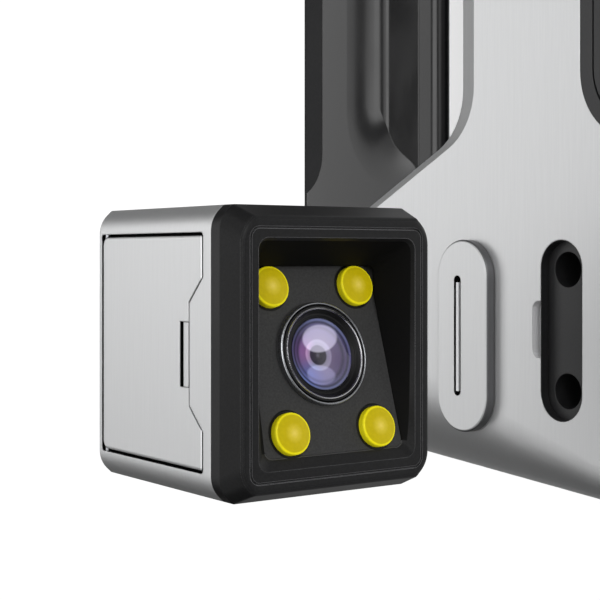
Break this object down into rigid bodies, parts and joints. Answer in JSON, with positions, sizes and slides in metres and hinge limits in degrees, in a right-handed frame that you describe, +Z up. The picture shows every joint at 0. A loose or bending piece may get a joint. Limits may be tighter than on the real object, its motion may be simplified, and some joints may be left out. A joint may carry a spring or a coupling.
{
  "type": "handheld 3d scanner with detachable colour camera module",
  "caption": "Handheld structured-light scanner with a hollow grip, a side dock, and a box-shaped colour camera module with four lamps pulled off the dock.",
  "frame": {"origin": "on the flat base under the scanner, on its middle plane", "axes": "-Y is the way the cameras look, +Z is up, -X is the dock side"},
  "size_m": [0.1505, 0.1226, 0.237],
  "materials": {
    "silver_cover": "satin, fine vertical brushing",
    "grip_black": "soft satin moulded plastic",
    "palm_rubber": "fine grained",
    "front_black": "satin",
    "window_black": "polished",
    "module_black": "fine satin",
    "plate_black": "fine matt",
    "lens_metal": "polished ring",
    "barrel_black": "black anodised",
    "clear_lens": "coated",
    "lamp_yellow": "clear coloured resin",
    "ring_white": "diffusing",
    "board_green": "lacquered",
    "plain_aluminium": "machined",
    "brass_insert": "turned",
    "screw_steel": "plain",
    "key_dark": "satin"
  },
  "bodies": {
    "scanner": {"left_side_cover": "silver_cover", "right_side_cover": "silver_cover", "grip_strip": "silver_cover", "grip_front_shell": "grip_black", "grip_rear_shell": "grip_black", "key_frame": "grip_black", "palm_pad": "palm_rubber", "front_bezel": "front_black", "core_housing": "front_black", "left_flank_trim": "front_black", "right_flank_trim": "front_black", "dock_socket": "front_black", "port_socket": "front_black", "power_inlet": "front_black", "data_inlet": "front_black", "front_window": "window_black", "projector_barrel": "barrel_black", "lower_camera_barrel": "barrel_black", "upper_camera_barrel": "barrel_black", "projector_lens": "clear_lens", "lower_camera_lens": "clear_lens", "upper_camera_lens": "clear_lens", "lamp_ring": "ring_white", "main_board": "board_green", "key_board": "board_green", "lower_camera_board": "board_green", "upper_camera_board": "board_green", "optics_frame": "plain_aluminium", "projector_engine": "plain_aluminium", "grip_spine": "plain_aluminium", "tripod_bush": "brass_insert", "board_standoffs": "brass_insert", "frame_screws": "screw_steel", "cover_screws": "screw_steel"},
    "camera_module": {"module_housing": "silver_cover", "module_bezel": "module_black", "module_back": "silver_cover", "back_screws": "screw_steel", "lamp_plate": "plate_black", "lamp_1": "lamp_yellow", "lamp_2": "lamp_yellow", "lamp_3": "lamp_yellow", "lamp_4": "lamp_yellow", "lamp_board": "board_green", "lens_barrel": "barrel_black", "lens_ring": "lens_metal", "lens_retainer": "lens_metal", "lens_glass": "clear_lens", "rear_glass": "clear_lens", "sensor_board": "board_green", "hinge_pin": "screw_steel", "service_socket": "front_black", "dock_plug": "front_black"},
    "side_door": {"module_door": "silver_cover"},
    "door_catch": {"door_catch": "silver_cover"},
    "port_cover": {"port_cover": "silver_cover"},
    "minus_key": {"minus_key": "key_dark"},
    "scan_key": {"scan_key": "key_dark"},
    "plus_key": {"plus_key": "key_dark"}
  },
  "joints": [
    {"name": "module_dock", "type": "slide", "parent": "scanner", "child": "camera_module", "axis": [1, 0, 0], "range_m": [0, 0.0452]},
    {"name": "side_door_hinge", "type": "hinge", "parent": "camera_module", "child": "side_door", "pos_m": [-0.1119, -0.03155, 0.0273], "axis": [0, 0, -1], "range_deg": [0, 95]},
    {"name": "door_catch_slide", "type": "slide", "parent": "side_door", "child": "door_catch", "axis": [0, 1, 0], "range_m": [0, 0.0008], "stiffness_N_per_m": 200},
    {"name": "port_cover_pull", "type": "slide", "parent": "scanner", "child": "port_cover", "axis": [-1, 0, 0], "range_m": [0, 0.006]},
    {"name": "minus_key_press", "type": "slide", "parent": "scanner", "child": "minus_key", "axis": [0, -1, 0], "range_m": [0, 0.0008], "stiffness_N_per_m": 800},
    {"name": "scan_key_press", "type": "slide", "parent": "scanner", "child": "scan_key", "axis": [0, -1, 0], "range_m": [0, 0.0008], "stiffness_N_per_m": 800},
    {"name": "plus_key_press", "type": "slide", "parent": "scanner", "child": "plus_key", "axis": [0, -1, 0], "range_m": [0, 0.0008], "stiffness_N_per_m": 800}
  ]
}
